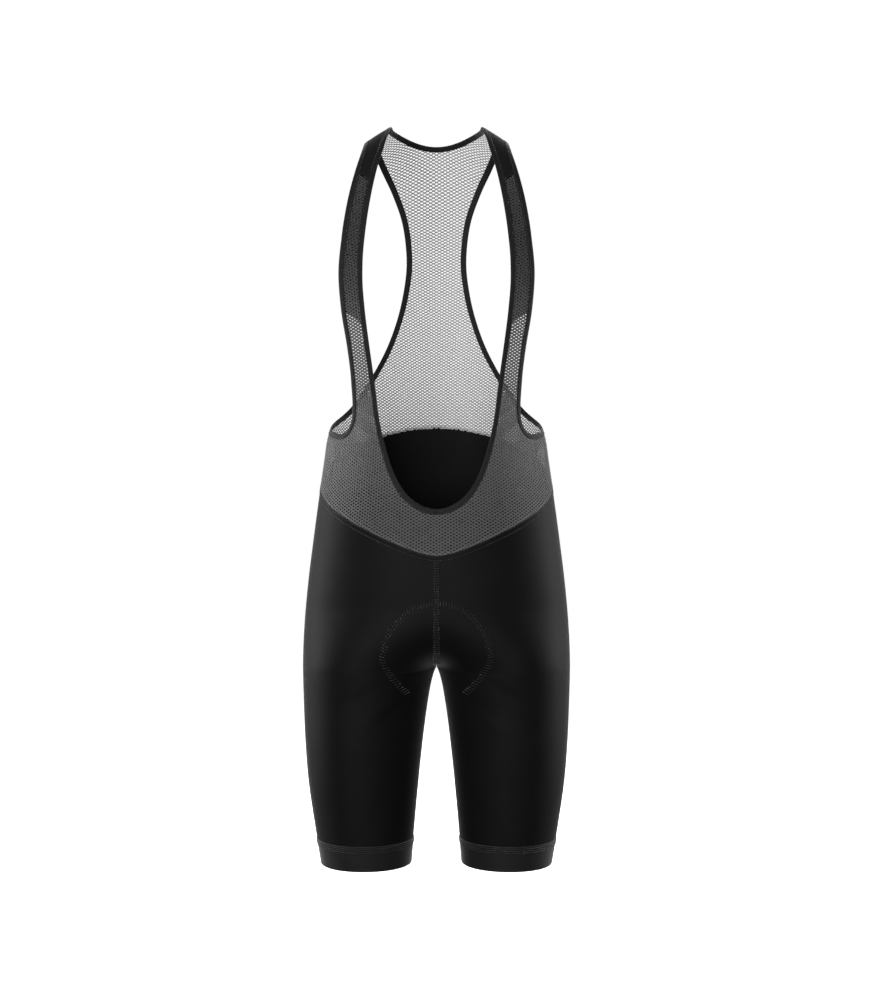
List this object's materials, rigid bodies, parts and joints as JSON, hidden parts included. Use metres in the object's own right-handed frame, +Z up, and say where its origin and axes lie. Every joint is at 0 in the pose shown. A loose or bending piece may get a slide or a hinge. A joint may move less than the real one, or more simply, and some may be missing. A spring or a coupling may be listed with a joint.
{
  "type": "cycling bib shorts",
  "caption": "Hollow, filled-out bib shorts: stretch legs, V waist seam, net yoke and straps, net racer back, bound neck and armholes, seat pad inside the crotch.",
  "frame": {"origin": "midway between the two shoulder ridges, at the height of each strap's middle, where the wearer's shoulders carry the bib", "axes": "+X to the wearer's left, -Y to the front, +Z up"},
  "size_m": [0.32, 0.2279, 0.8786],
  "materials": {
    "lycra": "black stretch knit with a soft satin sheen",
    "gripper": "black satin elastic band",
    "net_front": "charcoal hexagonal net",
    "net_back": "grey hexagonal net, lighter on its inner face",
    "cap": "matt black knit",
    "backing": "matt black knit",
    "binding": "black ribbed knit binding",
    "pad": "brushed black fleece over foam"
  },
  "bodies": {
    "root": {"shorts_left": "lycra", "shorts_right": "lycra", "hem_band_left": "gripper", "hem_band_right": "gripper", "front_mesh": "net_front", "back_mesh": "net_back", "shoulder_cap_left": "cap", "shoulder_cap_right": "cap", "strap_backing_left": "backing", "strap_backing_right": "backing", "neck_binding": "binding", "armhole_binding_left": "binding", "armhole_binding_right": "binding", "chamois_pad": "pad"}
  },
  "joints": []
}
